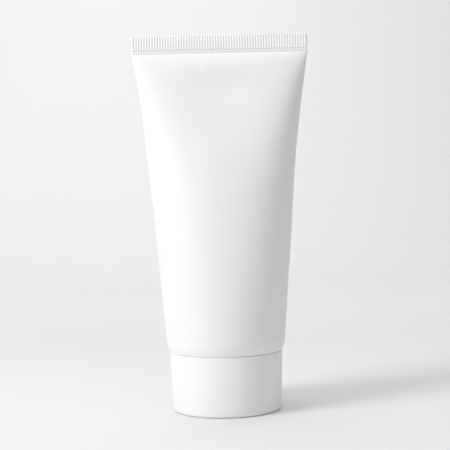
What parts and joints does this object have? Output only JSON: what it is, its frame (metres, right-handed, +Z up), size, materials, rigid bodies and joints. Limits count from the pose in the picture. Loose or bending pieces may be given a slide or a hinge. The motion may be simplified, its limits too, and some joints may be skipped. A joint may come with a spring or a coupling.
{
  "type": "shaving cream tube",
  "caption": "Soft white squeeze tube with a crimped flat end seal, rounded shoulder and threaded neck, standing upside down on a wide plain screw cap.",
  "frame": {"origin": "middle of the face that the cap stands on", "axes": "+Z up the tube to its end seal, X along the width of the seal, -Y the front"},
  "size_m": [0.0744, 0.05, 0.1573],
  "materials": {
    "cap_white": "satin",
    "collar_white": "satin",
    "liner_foam": "matte",
    "sleeve_white": "satin",
    "head_white": "satin",
    "foil": "satin",
    "cream": "gloss"
  },
  "bodies": {
    "cap": {"cap_shell": "cap_white", "cap_thread_collar": "collar_white"},
    "liner": {"cap_liner": "liner_foam"},
    "tube": {"tube_sleeve": "sleeve_white", "tube_head": "head_white", "orifice_seal": "foil", "shaving_cream": "cream"}
  },
  "joints": [
    {"name": "cap_turn", "type": "hinge", "parent": "cap", "child": "liner", "pos_m": [0, 0, 0], "axis": [0, 0, 1], "range_deg": [0, 990]},
    {"name": "tube_rise", "type": "slide", "parent": "liner", "child": "tube", "axis": [0, 0, 1], "range_m": [0, 0.00826]}
  ],
  "couplings": [
    {"joint": "tube_rise", "follows": "cap_turn", "m_per_rad": 0.00047746}
  ]
}
